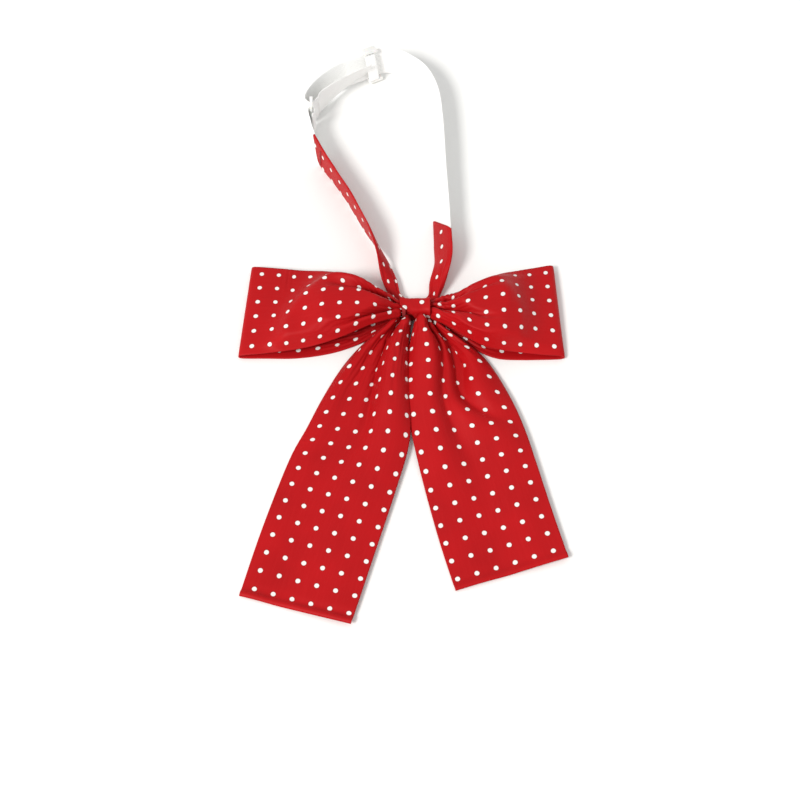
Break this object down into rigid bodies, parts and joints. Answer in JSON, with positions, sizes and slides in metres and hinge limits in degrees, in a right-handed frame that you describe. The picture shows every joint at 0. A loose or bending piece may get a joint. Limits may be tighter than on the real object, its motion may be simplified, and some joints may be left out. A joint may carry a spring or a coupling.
{
  "type": "bow tie",
  "caption": "Pre-tied polka-dot bow tie with two looped wings, two long tails, a wrapped knot and an adjustable elastic neckband with slider and hook, lying flat.",
  "frame": {"origin": "middle of the knot's back face, on the surface that the tie lies on", "axes": "+X to the right of the knot seen from its front, +Y from the tails towards the neckband, +Z out of the knot's front"},
  "size_m": [0.1938, 0.3962, 0.0238],
  "materials": {
    "dotted_cloth": "satin-faced woven cloth, red with white pin dots",
    "sewing_thread": "matt red thread",
    "elastic_band": "matt white woven elastic",
    "white_plastic": "satin moulded plastic"
  },
  "bodies": {
    "knot": {"knot_band": "dotted_cloth", "wing_waist": "dotted_cloth", "left_gather_thread": "sewing_thread", "right_gather_thread": "sewing_thread", "tail_tab": "dotted_cloth", "knot_seam": "sewing_thread"},
    "left_wing": {"left_wing": "dotted_cloth"},
    "right_wing": {"right_wing": "dotted_cloth"},
    "left_tail": {"left_tail": "dotted_cloth"},
    "right_tail": {"right_tail": "dotted_cloth"},
    "neckband": {"right_strap": "dotted_cloth", "left_strap": "dotted_cloth", "right_strap_tack": "sewing_thread", "left_strap_tack": "sewing_thread", "long_band": "elastic_band", "short_band": "elastic_band"},
    "slider": {"slider": "white_plastic", "band_end_loop": "elastic_band"},
    "hook": {"hook": "white_plastic"}
  },
  "joints": [
    {"name": "left_wing_flex", "type": "hinge", "parent": "knot", "child": "left_wing", "pos_m": [-0.0139, 0, 0.009], "axis": [0, 1, 0], "range_deg": [0, 25]},
    {"name": "right_wing_flex", "type": "hinge", "parent": "knot", "child": "right_wing", "pos_m": [0.0139, 0, 0.009], "axis": [0, -1, 0], "range_deg": [0, 25]},
    {"name": "left_tail_lift", "type": "hinge", "parent": "knot", "child": "left_tail", "pos_m": [0, -0.0086, 0.0033], "axis": [-1, 0, 0], "range_deg": [0, 45]},
    {"name": "right_tail_lift", "type": "hinge", "parent": "knot", "child": "right_tail", "pos_m": [0, -0.0086, 0.0033], "axis": [-1, 0, 0], "range_deg": [0, 45]},
    {"name": "neckband_fold", "type": "hinge", "parent": "knot", "child": "neckband", "pos_m": [0, 0.0086, 0.0033], "axis": [1, 0, 0], "range_deg": [-90, 45]},
    {"name": "slider_slide", "type": "slide", "parent": "neckband", "child": "slider", "axis": [-0.8944, -0.4472, 0], "range_m": [0, 0.01]},
    {"name": "hook_slide", "type": "slide", "parent": "neckband", "child": "hook", "axis": [0, 0, 1], "range_m": [0, 0.022]}
  ],
  "couplings": [
    {"joint": "right_tail_lift", "follows": "left_tail_lift", "ratio": 1}
  ]
}
